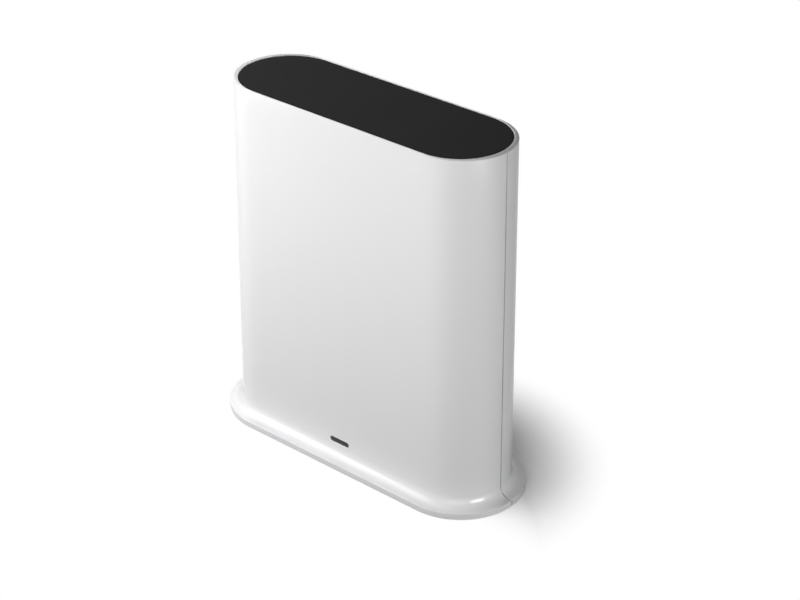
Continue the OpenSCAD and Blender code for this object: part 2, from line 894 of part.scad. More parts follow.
// Switch on the board, with a bore for its plunger
module push_switch(x, size) {
    difference() {
        wall_box(x, y_board, z_io, size);
        rod(x, y_board + plunger_r / 2, z_io, plunger_r + plunger_gap, size[2]);
    }
}

// Plunger that leaves room for its travel at the bottom of its bore
module switch_plunger(x, travel, y_end) {
    y = y_board + plunger_r / 2 + travel + slide_gap;
    rod(x, y, z_io, plunger_r, y_end - y);
}

module sync_button() {
    color(white) push_button(x_sync, sync_r, sync_proud, y_sync);
}

module sync_plunger() {
    color(black) switch_plunger(x_sync, sync_travel, y_sync);
}

module sync_switch() {
    color(steel) push_switch(x_sync, switch_size);
}

module power_button() {
    color(white) push_button(x_power, power_r, power_proud, y_power);
}

module power_plunger() {
    color(black) switch_plunger(x_power, power_travel, y_power);
}

module power_switch() {
    color(steel) push_switch(x_power, latch_switch_size);
}

module reset_plunger() {
    color([0.6, 0.2, 0.2]) switch_plunger(x_reset, reset_travel, y_io - reset_gap);
}

module reset_switch() {
    color(steel) push_switch(x_reset, switch_size);
}

front_shell();
rear_shell();
top_panel();
base_plate();
foot_pad();
base_screws();
indicator_lens();
light_pipe();
status_led();
main_board();
board_screws();
processor();
processor_shield();
thermal_pads();
heat_spreader();
radio_shields();
left_antenna();
right_antenna();
left_antenna_lead();
right_antenna_lead();
antenna_plugs();
network_transformer();
capacitors();
power_inductor();
io_panel();
ethernet_socket();
ethernet_contacts();
usb_socket_shell();
usb_tongue();
usb_contacts();
power_inlet();
power_inlet_pin();
sync_button();
sync_plunger();
sync_switch();
power_button();
power_plunger();
power_switch();
reset_plunger();
reset_switch();
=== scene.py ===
import math
import bmesh
import bpy
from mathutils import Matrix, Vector


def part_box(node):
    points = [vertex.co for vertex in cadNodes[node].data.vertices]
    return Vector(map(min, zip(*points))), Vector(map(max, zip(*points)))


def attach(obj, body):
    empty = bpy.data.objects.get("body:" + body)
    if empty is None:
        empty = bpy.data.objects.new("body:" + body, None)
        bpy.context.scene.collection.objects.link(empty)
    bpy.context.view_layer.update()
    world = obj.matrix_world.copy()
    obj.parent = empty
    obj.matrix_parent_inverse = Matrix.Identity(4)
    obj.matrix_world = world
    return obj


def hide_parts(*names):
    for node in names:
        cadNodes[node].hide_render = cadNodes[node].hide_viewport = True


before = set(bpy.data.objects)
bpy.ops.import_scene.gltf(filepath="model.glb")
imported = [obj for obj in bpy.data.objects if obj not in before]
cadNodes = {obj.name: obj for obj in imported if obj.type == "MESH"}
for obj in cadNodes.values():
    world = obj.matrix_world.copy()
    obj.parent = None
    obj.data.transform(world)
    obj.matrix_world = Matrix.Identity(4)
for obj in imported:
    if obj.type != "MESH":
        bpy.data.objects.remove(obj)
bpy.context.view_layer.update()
mm = 0.001  # sizes are in millimetres unless a note says otherwise
print("frame loaded:", len(cadNodes), "nodes")


def nodeBox(name):  # lowest and highest corner of a node
    low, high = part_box(name)
    return low / mm, high / mm


# Outlines: each is a ring of points, and rings are skinned into solids

def stadiumPath(arcSteps, flatSteps):  # straight middle, round ends, as shares of half and radius
    turns = [math.radians(90 * i / arcSteps) for i in range(arcSteps + 1)]
    right = [(1, math.cos(t), -math.sin(t)) for t in turns]
    flat = [(1 - 2 * i / flatSteps, 0, -1) for i in range(1, flatSteps)]
    left = [(-1, -math.cos(t), -math.sin(t)) for t in reversed(turns)]
    front = right + flat + left
    return front + [(-middle, -across, -along) for middle, across, along in front[1:-1]]


def stadiumRing(path, half, radius, z):  # lying flat
    return [(middle * half + across * radius, along * radius, z) for middle, across, along in path]


def slotRing(path, half, radius, y, z):  # standing in the wall
    return [(middle * half + across * radius, y, z + along * radius) for middle, across, along in path]


def turnedRing(x, y, z, radius, steps):  # circle about an axis along Y
    turns = [2 * math.pi * i / steps for i in range(steps)]
    return [(x + radius * math.cos(t), y, z + radius * math.sin(t)) for t in turns]


def levelRing(x, y, z, radius, steps):  # circle about an upright axis
    turns = [2 * math.pi * i / steps for i in range(steps)]
    return [(x + radius * math.cos(t), y + radius * math.sin(t), z) for t in turns]


def roundedRing(x, y, z, width, height, corner, steps=6):  # rounded rectangle standing in the wall
    ring = []
    for sideX, sideZ, start in ((1, 1, 0), (-1, 1, 90), (-1, -1, 180), (1, -1, 270)):
        for i in range(steps + 1):
            turn = math.radians(start + 90 * i / steps)
            ring.append((x + sideX * (width / 2 - corner) + corner * math.cos(turn), y,
                         z + sideZ * (height / 2 - corner) + corner * math.sin(turn)))
    return ring


def skin(rings, wrap=False):  # a solid with end caps, or a closed hoop where wrap is set
    count = len(rings[0])
    points = [p for ring in rings for p in ring]
    faces = []
    for k in range(len(rings) if wrap else len(rings) - 1):
        a, b = k * count, (k + 1) % len(rings) * count
        faces += [(a + i, a + (i + 1) % count, b + (i + 1) % count, b + i) for i in range(count)]
    if not wrap:
        faces += [tuple(reversed(range(count))), tuple(range(len(points) - count, len(points)))]
    return points, faces


def stadiumSkin(path, half, rows, wrap=False):  # rows of radius and height
    return skin([stadiumRing(path, half, radius, z) for radius, z in rows], wrap)


def slotSkin(path, half, radius, z, rows):  # rows of depth and growth
    return skin([slotRing(path, half, radius + grow, y, z) for y, grow in rows])


def turnedSkin(x, z, rows, steps=48, wrap=False):  # rows of depth and radius
    return skin([turnedRing(x, y, z, radius, steps) for y, radius in rows], wrap)


def levelSkin(x, y, rows, steps=48):  # rows of height and radius
    return skin([levelRing(x, y, z, radius, steps) for z, radius in rows])


def roundedSkin(x, z, size, corner, rows, cornerShare=1):  # rows of depth and growth
    width, height = size
    return skin([roundedRing(x, y, z, width + 2 * grow, height + 2 * grow, corner + cornerShare * grow)
                 for y, grow in rows])


def joined(solids):
    points, faces = [], []
    for morePoints, moreFaces in solids:
        base = len(points)
        points += morePoints
        faces += [tuple(base + i for i in face) for face in moreFaces]
    return points, faces


def block(x, y, z, size):  # box by its middle
    corners = [(-1, -1), (1, -1), (1, 1), (-1, 1)]
    return skin([[(x + sx * size[0] / 2, y + sy * size[1] / 2, z + up * size[2] / 2) for sx, sy in corners]
                 for up in (-1, 1)])


def roundOver(steps):  # shares across and along of a quarter round, from its side to its face
    turns = [math.radians(90 * i / steps) for i in range(steps + 1)]
    return [(1 - math.cos(t), math.sin(t)) for t in turns]


def mouthRows(deep, face, chamfer, past):  # a cutter's rows from inside to past the face, with a chamfer
    way = 1 if face > deep else -1
    return [(deep, 0), (face - way * chamfer, 0), (face + way * past, chamfer + past)]


# Pieces

def addObject(name, data):
    thing = bpy.data.objects.new(name, data)
    bpy.context.scene.collection.objects.link(thing)
    return thing


def solidPiece(name, solid, kinds=None):  # kinds is a material index for each face
    mesh = bpy.data.meshes.new(name)
    mesh.from_pydata([Vector(p) * mm for p in solid[0]], [], solid[1])
    if kinds:
        mesh.polygons.foreach_set("material_index", kinds)
    shape = bmesh.new()
    shape.from_mesh(mesh)
    bmesh.ops.recalc_face_normals(shape, faces=shape.faces)
    bmesh.ops.triangulate(shape, faces=[f for f in shape.faces if len(f.verts) > 4])
    shape.to_mesh(mesh)
    shape.free()
    return addObject(name, mesh)


def carve(piece, solid):  # cuts a solid out of a piece and keeps the plain mesh
    cutter = solidPiece("cutter", solid)
    cut = piece.modifiers.new("carve", "BOOLEAN")
    cut.operation = "DIFFERENCE"
    cut.solver = "EXACT"
    cut.object = cutter
    graph = bpy.context.evaluated_depsgraph_get()
    carved = bpy.data.meshes.new_from_object(piece.evaluated_get(graph))
    piece.modifiers.clear()
    piece.data = carved
    bpy.data.objects.remove(cutter)


def dress(piece, body, looks, stands=(), angle=32):  # stands names the nodes it stands for
    mesh = piece.data
    mesh.shade_smooth()
    mesh.set_sharp_from_angle(angle=math.radians(angle))
    for look in looks:
        mesh.materials.append(finish[look])
    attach(piece, body)
    if stands:
        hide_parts(*stands)


# Shared effects, built once as shader groups

def newGroup(name, inputs, outputs):
    group = bpy.data.node_groups.new(name, "ShaderNodeTree")
    for label, kind, value in inputs:
        group.interface.new_socket(label, in_out="INPUT", socket_type=kind).default_value = value
    for label, kind in outputs:
        group.interface.new_socket(label, in_out="OUTPUT", socket_type=kind)
    return group, group.nodes.new("NodeGroupInput"), group.nodes.new("NodeGroupOutput")


def addMath(tree, operation, first=None, second=None, third=None):
    node = tree.nodes.new("ShaderNodeMath")
    node.operation = operation
    for socket, value in zip(node.inputs, (first, second, third)):
        if isinstance(value, (int, float)):
            socket.default_value = value
        elif value is not None:
            tree.links.new(value, socket)
    return node.outputs[0]


def addNoise(tree, place, scale, detail):
    noise = tree.nodes.new("ShaderNodeTexNoise")
    noise.inputs["Detail"].default_value = detail
    tree.links.new(place, noise.inputs["Vector"])
    tree.links.new(scale, noise.inputs["Scale"])
    return noise.outputs["Fac"]


number, color = "NodeSocketFloat", "NodeSocketColor"
grainEffect = {"grain": 4000.0, "drift": 30.0, "rough": 0.4, "spread": 0.05, "fineDetail": 2.0,
               "slowDetail": 3.0, "centre": 0.5}
toneEffect = {"color": (0.8, 0.8, 0.8, 1), "deep": (0.7, 0.7, 0.7, 1), "patch": 25.0, "speck": 900.0,
              "share": 0.6, "patchDetail": 4.0, "speckDetail": 1.0}


def makeMouldGrain(g):  # fine moulded texture: a height for bump, and gloss that drifts slowly
    inputs = [("Grain", number, g["grain"]), ("Drift", number, g["drift"]),
              ("Roughness", number, g["rough"]), ("Spread", number, g["spread"])]
    group, start, end = newGroup("mouldGrain", inputs, [("Height", number), ("Roughness", number)])
    place = group.nodes.new("ShaderNodeTexCoord").outputs["Object"]
    fine = addNoise(group, place, start.outputs["Grain"], g["fineDetail"])
    slow = addNoise(group, place, start.outputs["Drift"], g["slowDetail"])
    centred = addMath(group, "SUBTRACT", slow, g["centre"])
    gloss = addMath(group, "MULTIPLY_ADD", centred, start.outputs["Spread"], start.outputs["Roughness"])
    group.links.new(fine, end.inputs["Height"])
    group.links.new(gloss, end.inputs["Roughness"])
    return group


def makeToneDrift(t):  # a colour that deepens a little in slow patches and fine specks
    inputs = [("Color", color, t["color"]), ("Deep", color, t["deep"]), ("Patch", number, t["patch"]),
              ("Speck", number, t["speck"]), ("Share", number, t["share"])]
    group, start, end = newGroup("toneDrift", inputs, [("Color", color)])
    place = group.nodes.new("ShaderNodeTexCoord").outputs["Object"]
    patch = addNoise(group, place, start.outputs["Patch"], t["patchDetail"])
    speck = addNoise(group, place, start.outputs["Speck"], t["speckDetail"])
    amount = addMath(group, "MULTIPLY", addMath(group, "MULTIPLY", patch, speck), start.outputs["Share"])
    blend = group.nodes.new("ShaderNodeMix")
    blend.data_type = "RGBA"
    group.links.new(amount, blend.inputs["Factor"])
    group.links.new(start.outputs["Color"], blend.inputs["A"])
    group.links.new(start.outputs["Deep"], blend.inputs["B"])
    group.links.new(blend.outputs["Result"], end.inputs["Color"])
    return group


mouldGrain = makeMouldGrain(grainEffect)
toneDrift = makeToneDrift(toneEffect)
print("shared effects ready")


# Finishes: colour, its deeper drift, roughness and how far it drifts, size and depth of the grain

cool = 1.01  # greys lean a little to blue


def neutral(value):
    return (value, value, value * cool)


finishes = {
    "white_plastic": {"color": neutral(0.87), "deep": neutral(0.85), "rough": 0.20, "spread": 0.03,
                      "grain": 0.28, "depth": 0.003},
    # painted shade: a darker grey for the faces inside the seam, standing in for the shade in the gap
    "seam_painted_shade": {"color": neutral(0.45), "deep": neutral(0.38), "rough": 0.50, "spread": 0.08,
                   "grain": 0.28, "depth": 0.003},
    "dark_panel": {"color": neutral(0.012), "deep": neutral(0.008), "rough": 0.62, "spread": 0.08,
                   "grain": 0.35, "depth": 0.02, "specular": 0.03},
    "button_plastic": {"color": neutral(0.42), "deep": neutral(0.36), "rough": 0.42, "spread": 0.08,
                       "grain": 0.25, "depth": 0.004},
    "socket_face": {"color": neutral(0.018), "deep": neutral(0.012), "rough": 0.40, "spread": 0.08,
                    "grain": 0.35, "depth": 0.006, "specular": 0.35},
    "smoked_lens": {"color": neutral(0.022), "deep": neutral(0.016), "rough": 0.16, "spread": 0.05,
                    "grain": 0.6, "depth": 0.0004, "specular": 0.4},
    "rubber": {"color": neutral(0.05), "deep": neutral(0.03), "rough": 0.8, "spread": 0.12,
               "grain": 0.4, "depth": 0.03, "specular": 0.3},
    "steel": {"color": neutral(0.60), "deep": neutral(0.46), "rough": 0.28, "spread": 0.12,
              "grain": 0.2, "depth": 0.002, "metal": 1.0},
    "board": {"color": (0.015, 0.10, 0.045), "deep": (0.008, 0.055, 0.026), "rough": 0.36, "spread": 0.1,
              "grain": 0.5, "depth": 0.01},
    "black_plastic": {"color": neutral(0.022), "deep": neutral(0.014), "rough": 0.46, "spread": 0.1,
                      "grain": 0.3, "depth": 0.008, "specular": 0.4},
    "switch_metal": {"color": neutral(0.66), "deep": neutral(0.5), "rough": 0.34, "spread": 0.12,
                     "grain": 0.2, "depth": 0.002, "metal": 1.0},
    "reset_plastic": {"color": (0.5, 0.47, 0.42), "deep": (0.42, 0.39, 0.34), "rough": 0.5, "spread": 0.08,
                      "grain": 0.2, "depth": 0.004},
    "contact_gold": {"color": (0.83, 0.61, 0.25), "deep": (0.66, 0.46, 0.17), "rough": 0.24, "spread": 0.1,
                     "grain": 0.2, "depth": 0.001, "metal": 1.0},
    "aluminium": {"color": neutral(0.735), "deep": neutral(0.585), "rough": 0.38, "spread": 0.14,
                  "grain": 0.3, "depth": 0.003, "metal": 1.0},
    "clear_plastic": {"color": neutral(0.93), "deep": neutral(0.86), "rough": 0.12, "spread": 0.05,
                      "grain": 0.5, "depth": 0.0004, "clear": 0.85},
    "light_chip": {"color": (0.85, 0.78, 0.42), "deep": (0.76, 0.66, 0.3), "rough": 0.3, "spread": 0.06,
                   "grain": 0.3, "depth": 0.002},
    "soft_pad": {"color": (0.30, 0.33, 0.37), "deep": (0.24, 0.27, 0.31), "rough": 0.75, "spread": 0.1,
                 "grain": 0.5, "depth": 0.02},
    "ivory_plastic": {"color": (0.75, 0.71, 0.60), "deep": (0.66, 0.61, 0.5), "rough": 0.48, "spread": 0.08,
                      "grain": 0.3, "depth": 0.004},
    "aerial_film": {"color": neutral(0.05), "deep": (0.09, 0.06, 0.035), "rough": 0.34, "spread": 0.1,
                    "grain": 0.6, "depth": 0.004},
    "lead_jacket": {"color": neutral(0.06), "deep": neutral(0.04), "rough": 0.5, "spread": 0.08,
                    "grain": 0.3, "depth": 0.006},
    "mark_print": {"color": neutral(0.06), "deep": neutral(0.04), "rough": 0.55, "spread": 0.08,
                   "grain": 0.15, "depth": 0.002},
    "link_light": {"color": (0.62, 0.68, 0.60), "deep": (0.5, 0.56, 0.48), "rough": 0.3, "spread": 0.06,
                   "grain": 0.3, "depth": 0.001},
}
plainSpecular = 0.5


def makeFinish(name, look):
    material = bpy.data.materials.new(name)
    material.use_nodes = True
    tree = material.node_tree
    surface = tree.nodes["Principled BSDF"]
    grain = tree.nodes.new("ShaderNodeGroup")
    grain.node_tree = mouldGrain
    grain.inputs["Grain"].default_value = 1 / (look["grain"] * mm)
    grain.inputs["Roughness"].default_value = look["rough"]
    grain.inputs["Spread"].default_value = look["spread"]
    tone = tree.nodes.new("ShaderNodeGroup")
    tone.node_tree = toneDrift
    tone.inputs["Color"].default_value = (*look["color"], 1)
    tone.inputs["Deep"].default_value = (*look["deep"], 1)
    bump = tree.nodes.new("ShaderNodeBump")
    bump.inputs["Distance"].default_value = look["depth"] * mm
    tree.links.new(tone.outputs["Color"], surface.inputs["Base Color"])
    tree.links.new(grain.outputs["Roughness"], surface.inputs["Roughness"])
    tree.links.new(grain.outputs["Height"], bump.inputs["Height"])
    tree.links.new(bump.outputs["Normal"], surface.inputs["Normal"])
    surface.inputs["Metallic"].default_value = look.get("metal", 0.0)
    surface.inputs["Specular IOR Level"].default_value = look.get("specular", plainSpecular)
    surface.inputs["Transmission Weight"].default_value = look.get("clear", 0.0)
    return material


finish = {name: makeFinish(name, look) for name, look in finishes.items()}
for node in cadNodes.values():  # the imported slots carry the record's names
    for held in node.material_slots:
        held.material = finish[held.material.name.split(".")[0]]
print("finishes ready:", len(finish))


# Case: two shells that meet in a seam down the middle of each round end

shellLow, shellHigh = nodeBox("front_shell")
panelHigh = nodeBox("top_panel")[1]
plateLow, plateHigh = nodeBox("base_plate")
case = {
    "zFoot": shellLow.z, "zRim": shellHigh.z, "seamHalf": 0.24,
    "flangeR": -shellLow.y, "flareHalf": shellHigh.x + shellLow.y, "flangeReach": 5.75,
    "flangeHeight": 2.7, "flareR": 4.0, "flangeEdge": 0.2, "toeR": 0.2, "plateThick": 1.4,
    "rimHalf": 42.75, "wall": 2.0, "shelf": 2.4, "shelfWidth": 2.5, "panelThick": 2.0, "fitGap": 0.1,
    "rimInner": 0.08, "rimSplit": 0.54, "rimSlope": 0.02,  # shares of the rim's width
    "rimStep": 0.07, "rimR": 0.25, "rimChamfer": 0.12, "seamChamfer": 0.2, "seamTurn": 0.75,
    "arcSteps": 36, "flatSteps": 12, "wallSteps": 12, "flareSteps": 12, "flangeSteps": 6, "edgeSteps": 5,
}
bodyR = case["flangeR"] - case["flangeReach"]
innerR = bodyR - case["wall"]
holeR = plateHigh.y + case["fitGap"]
zFlange = case["zFoot"] + case["flangeHeight"]
zFlare = zFlange + case["flareR"]
zSeat = plateLow.z + case["plateThick"]
zShelf = panelHigh.z - case["panelThick"]
zCeiling = zShelf - case["shelf"]


def endHalf(z):  # the round ends lean out towards the foot
    lean = (case["flareHalf"] - case["rimHalf"]) / (case["zRim"] - zFlare)
    return case["rimHalf"] + lean * (case["zRim"] - z)


def caseSection(c):  # closed section: half-length, radius, height, chamfer at the seam across and up
    rows = []
    chamfer, foot, edge = c["seamChamfer"], c["flareHalf"], c["flangeEdge"]
    zStep = c["zRim"] - c["rimStep"]
    recessHalf, recessR = panelHigh.x - panelHigh.y, panelHigh.y + c["fitGap"]

    def add(half, radius, z, across=0.0, up=0.0):
        rows.append((half, radius, z, across * chamfer, up * chamfer))

    def addRim(share, z):  # share of the way from the top plate to the outer wall
        half, radius = recessHalf + share * (c["rimHalf"] - recessHalf), recessR + share * (bodyR - recessR)
        add(half, radius, z, 0, 1)

    add(recessHalf, recessR, zShelf)
    add(recessHalf, recessR, c["zRim"] - c["rimChamfer"])
    addRim(c["rimInner"], c["zRim"])
    addRim(c["rimSplit"], c["zRim"])
    addRim(c["rimSplit"] + c["rimSlope"], zStep)
    for down, out in reversed([(1 - s, 1 - t) for s, t in roundOver(c["edgeSteps"])]):  # soft outer edge
        add(c["rimHalf"], bodyR - c["rimR"] * (1 - down), zStep - c["rimR"] * out, down, 1 - out)
    zWall = zStep - c["rimR"]
    for i in range(1, c["wallSteps"] + 1):
        z = zWall + (zFlare - zWall) * i / c["wallSteps"]
        add(endHalf(z), bodyR, z, 1)
    for out, down in roundOver(c["flareSteps"])[1:]:  # hollow flare
        add(foot, bodyR + c["flareR"] * out, zFlare - c["flareR"] * down, 1 - out, down)
    for down, out in roundOver(c["flangeSteps"]):  # round upper edge of the flange
        add(foot, c["flangeR"] - edge * (1 - out), zFlange - edge * down, out, 1 - down)
    for back, down in roundOver(c["edgeSteps"]):  # soft lower edge
        add(foot, c["flangeR"] - c["toeR"] * back, c["zFoot"] + c["toeR"] * (1 - down), 1 - back)
    add(foot, holeR, c["zFoot"])
    add(foot, holeR, zSeat)
    add(foot, holeR - c["wall"], zSeat)
    add(foot, innerR, zFlare + c["wall"])
    add(endHalf(zCeiling), innerR, zCeiling)
    add(recessHalf, innerR - c["shelfWidth"], zCeiling)
    add(recessHalf, innerR - c["shelfWidth"], zShelf)
    return rows


def makeShell(name, side, c):  # side -1 is the front, 1 the back
    rows = caseSection(c)
    turns = [0, c["seamTurn"]] + [90 * i / c["arcSteps"] for i in range(1, c["arcSteps"] + 1)]
    arc = [(1, math.cos(math.radians(t)), math.sin(math.radians(t)), t == 0) for t in turns]
    flat = [(1 - 2 * i / c["flatSteps"], 0, 1, False) for i in range(1, c["flatSteps"])]
    path = arc + flat + [(-middle, -across, along, seam) for middle, across, along, seam in reversed(arc)]
    rings = []
    for middle, across, along, seam in path:
        ring = []
        for half, radius, z, inset, drop in rows:
            r = radius - inset * seam
            ring.append((middle * half + across * r, side * max(along * r, c["seamHalf"]), z - drop * seam))
        rings.append(ring)
    kinds = [0] * (len(rows) * (len(rings) - 1)) + [1, 1]  # the faces in the seam get a darker grey: painted shade in the gap between the shells
    return solidPiece(name, skin(rings), kinds)


# Lips: strips behind the seam, and tongues in it at the rim and the foot, fixed to the rear shell

lips = {"thick": 1.0, "reach": 2.0, "gap": 0.25, "clear": 1.0, "tongue": 0.5, "tongueIn": 0.6,
        "tongueLow": 0.25, "footIn": 0.8}


def footTongue(c, inset):  # outline of the tongue in the flare, as radius and height
    zToe, flareR = c["zFoot"] + c["toeR"], c["flareR"] + inset
    rows = [(innerR, zFlare + c["wall"]), (bodyR - inset, zFlare + c["wall"])]
    for out, down in roundOver(c["flareSteps"]):
        rows.append((bodyR - inset + flareR * out, zFlare - flareR * down))
    rows += [(c["flangeR"] - inset, zFlange - inset), (c["flangeR"] - inset, zToe)]
    return rows + [(holeR, zToe), (holeR, zSeat), (holeR - c["wall"], zSeat)]


def seamLips(c, s):
    z0, z1 = zFlare + s["clear"], zCeiling - s["clear"]
    zTop = c["zRim"] - s["tongueLow"]
    strips = []
    for side in (-1, 1):
        rings = []
        for z in (z0, z1):
            outer = endHalf(z) + innerR - s["gap"]
            inner = outer - s["thick"]
            corners = ((outer, -1), (outer, 1), (inner, 1), (inner, -1))
            rings.append([(side * x, y * s["reach"], z) for x, y in corners])
        strips.append(skin(rings))
        x = side * (c["rimHalf"] + bodyR - s["tongueIn"])
        strips.append(block(x, 0, (z1 + zTop) / 2, (s["tongue"], 2 * c["seamHalf"], zTop - z1)))
        strips.append(skin([[(side * (c["flareHalf"] + r), y, z) for r, z in footTongue(c, s["footIn"])]
                            for y in (-c["seamHalf"], c["seamHalf"])]))
    return joined(strips)


# Status window low on the front

lensLow, lensHigh = nodeBox("indicator_lens")
statusWindow = {
    "width": 9.9, "height": 2.35, "lower": 0.3, "gap": 0.05, "lip": 1.5, "lipDepth": 1.2, "edge": 0.15,
    "chamfer": 0.08, "past": 0.6, "edgeSteps": 4, "arcSteps": 12, "flatSteps": 4,
}


def windowSolids(w):  # cutter for the slot with its chamfered mouth, and the lens in it
    half, r = (w["width"] - w["height"]) / 2, w["height"] / 2
    z = (lensLow.z + lensHigh.z) / 2 - w["lower"]
    path = stadiumPath(w["arcSteps"], w["flatSteps"])
    front, back = -bodyR, -innerR
    cutter = slotSkin(path, half, r, z, mouthRows(back + w["past"], front, w["chamfer"], w["past"]))
    rows = [(back + w["lipDepth"], w["lip"]), (back, w["lip"]), (back, -w["gap"])]
    for inward, out in roundOver(w["edgeSteps"]):
        rows.append((lensLow.y + w["edge"] * (1 - out), -w["gap"] - w["edge"] * inward))
    return cutter, slotSkin(path, half, r, z, rows)


slotCutter, lensSolid = windowSolids(statusWindow)
frontCase = makeShell("front_case", -1, case)
carve(frontCase, slotCutter)
dress(frontCase, "case", ["white_plastic", "seam_painted_shade"], ["front_shell"])
dress(solidPiece("status_window", lensSolid), "case", ["smoked_lens"], ["indicator_lens"])
print("front case and status window built")


# Back case, with a window for the sockets

socketLow, socketHigh = nodeBox("io_panel")
zRow = (socketLow.z + socketHigh.z) / 2  # height of the row of sockets and buttons
backWindow = {"size": (81.0, 17.5), "corner": 3.0, "chamfer": 0.3, "past": 0.6}


def windowCutter(w):
    rows = mouthRows(innerR - w["past"], bodyR, w["chamfer"], w["past"])
    return roundedSkin(0, zRow, w["size"], w["corner"], rows)


rearCase = makeShell("rear_case", 1, case)
carve(rearCase, windowCutter(backWindow))
dress(rearCase, "case", ["white_plastic", "seam_painted_shade"], ["rear_shell"])
dress(solidPiece("seam_lips", seamLips(case, lips)), "case", ["white_plastic"])
print("rear case built")


# Top plate

topPlate = {"edge": 0.15, "edgeSteps": 4, "faceShare": 0.9, "arcSteps": 40, "flatSteps": 8}


def topSolid(t):
    r = panelHigh.y
    rows = [(r, zShelf)]
    for inward, up in roundOver(t["edgeSteps"]):
        rows.append((r - t["edge"] * inward, panelHigh.z - t["edge"] * (1 - up)))
    rows.append((r * t["faceShare"], panelHigh.z))
    return stadiumSkin(stadiumPath(t["arcSteps"], t["flatSteps"]), panelHigh.x - r, rows)


dress(solidPiece("top_plate", topSolid(topPlate)), "case", ["dark_panel"], ["top_panel"])
print("top plate built")


# Foot: plate with air slots, rubber ring and screws

padLow, padHigh = nodeBox("foot_pad")
screwLow, screwHigh = nodeBox("base_screws")
footPlan = {"half": case["flareHalf"], "arcSteps": 40, "flatSteps": 24}
plate = {
    "edge": 0.35, "ringGap": 0.1, "boreGap": 0.3, "past": 1.0, "slots": 9, "slotPitch": 6.0,
    "slotWidth": 2.0, "slotLength": 18.0, "slotChamfer": 0.3, "slotArcSteps": 8, "slotFlatSteps": 2,
}
ring = {"width": 4.0, "edge": 0.4, "edgeSteps": 4, "grooves": 2, "grooveWidth": 0.5, "grooveDepth": 0.35}
screw = {
    "x": 36.0, "y": 12.5, "headR": 2.3, "headHeight": 0.9, "headDome": 0.35, "headFlat": 0.45,
    "headSteps": 5, "shankR": 1.2, "threads": 9, "threadDepth": 0.15, "threadAt": (0.25, 0.75), "tip": 0.6,
    "steps": 32, "crossWidth": 0.6, "crossLength": 2.5, "crossDepth": 0.65,
}
screwPlaces = [(sx * screw["x"], sy * screw["y"]) for sx in (-1, 1) for sy in (-1, 1)]
screwSeat = screwLow.z + screw["headHeight"]
footPath = stadiumPath(footPlan["arcSteps"], footPlan["flatSteps"])


def plateSolid(p):
    r, z = plateHigh.y, plateLow.z
    return stadiumSkin(footPath, footPlan["half"], [(r, zSeat), (r, z + p["edge"]), (r - p["edge"], z)])


def ringSeat(p):  # groove that the rubber ring lies in
    outer, inner = padHigh.y + p["ringGap"], padHigh.y - ring["width"] - p["ringGap"]
    below = plateLow.z - p["past"]
    rows = [(outer, padHigh.z), (outer, below), (inner, below), (inner, padHigh.z)]
    return stadiumSkin(footPath, footPlan["half"], rows, wrap=True)


def airSlots(p):
    path = stadiumPath(p["slotArcSteps"], p["slotFlatSteps"])
    half, r = (p["slotLength"] - p["slotWidth"]) / 2, p["slotWidth"] / 2
    rows = mouthRows(plateHigh.z + p["past"], plateLow.z, p["slotChamfer"], p["past"])
    cutters = []
    for i in range(p["slots"]):
        x = (i - (p["slots"] - 1) / 2) * p["slotPitch"]
        flat = [stadiumRing(path, half, r + grow, z) for z, grow in rows]
        cutters.append(skin([[(x - py, px, pz) for px, py, pz in level] for level in flat]))
    return joined(cutters)


def screwBores(p):
    head, shank = screw["headR"] + p["boreGap"], screw["shankR"] + p["boreGap"]
    rows = [(plateLow.z - p["past"], head), (screwSeat, head), (screwSeat, shank),
            (plateHigh.z + p["past"], shank)]
    return joined([levelSkin(x, y, rows) for x, y in screwPlaces])


def ringSolid(r):  # soft edges, and shallow grooves underneath
    outer, edge, low = padHigh.y, r["edge"], padLow.z
    inner, soft = outer - r["width"], roundOver(r["edgeSteps"])
    rows = [(outer, padHigh.z)] + [(outer - edge * s, low + edge * (1 - t)) for s, t in soft]
    pitch, side = (r["width"] - 2 * edge) / (r["grooves"] + 1), r["grooveWidth"] / 2
    deep = low + r["grooveDepth"]
    for i in range(r["grooves"]):
        middle = outer - edge - pitch * (i + 1)
        rows += [(middle + side, low), (middle + side / 2, deep)]
        rows += [(middle - side / 2, deep), (middle - side, low)]
    rows += [(inner + edge * s, low + edge * (1 - t)) for s, t in reversed(soft)] + [(inner, padHigh.z)]
    return stadiumSkin(footPath, footPlan["half"], rows, wrap=True)


def screwSolid(s, x, y):  # domed head below, threaded shank above
    rows = [(screwLow.z, s["headR"] * s["headFlat"])]
    for inward, up in reversed(roundOver(s["headSteps"])):
        r = s["headR"] * (1 - (1 - s["headFlat"]) * inward * inward)
        rows.append((screwLow.z + s["headDome"] * (1 - up), r))
    rows += [(screwSeat, s["headR"]), (screwSeat, s["shankR"])]
    pitch = (screwHigh.z - screwSeat) / s["threads"]
    root, crest = s["threadAt"]
    for i in range(s["threads"]):
        rows.append((screwSeat + pitch * (i + root), s["shankR"] - s["threadDepth"]))
        rows.append((screwSeat + pitch * (i + crest), s["shankR"]))
    rows.append((screwHigh.z, s["shankR"] * s["tip"]))
    return levelSkin(x, y, rows, s["steps"])


def crossCutters(s):
    bars = []
    for x, y in screwPlaces:
        for size in ((s["crossLength"], s["crossWidth"]), (s["crossWidth"], s["crossLength"])):
            bars.append(block(x, y, screwLow.z, (*size, 2 * s["crossDepth"])))
    return bars


footPlate = solidPiece("foot_plate", plateSolid(plate))
for cutter in (ringSeat(plate), airSlots(plate), screwBores(plate)):
    carve(footPlate, cutter)
dress(footPlate, "case", ["white_plastic"], ["base_plate"])
dress(solidPiece("rubber_ring", ringSolid(ring)), "case", ["rubber"], ["foot_pad"], angle=40)
footScrews = solidPiece("foot_screws", joined([screwSolid(screw, x, y) for x, y in screwPlaces]))
for bar in crossCutters(screw):
    carve(footScrews, bar)
dress(footScrews, "case", ["steel"], ["base_screws"], angle=50)
print("foot built")


# Sockets and their dark panel

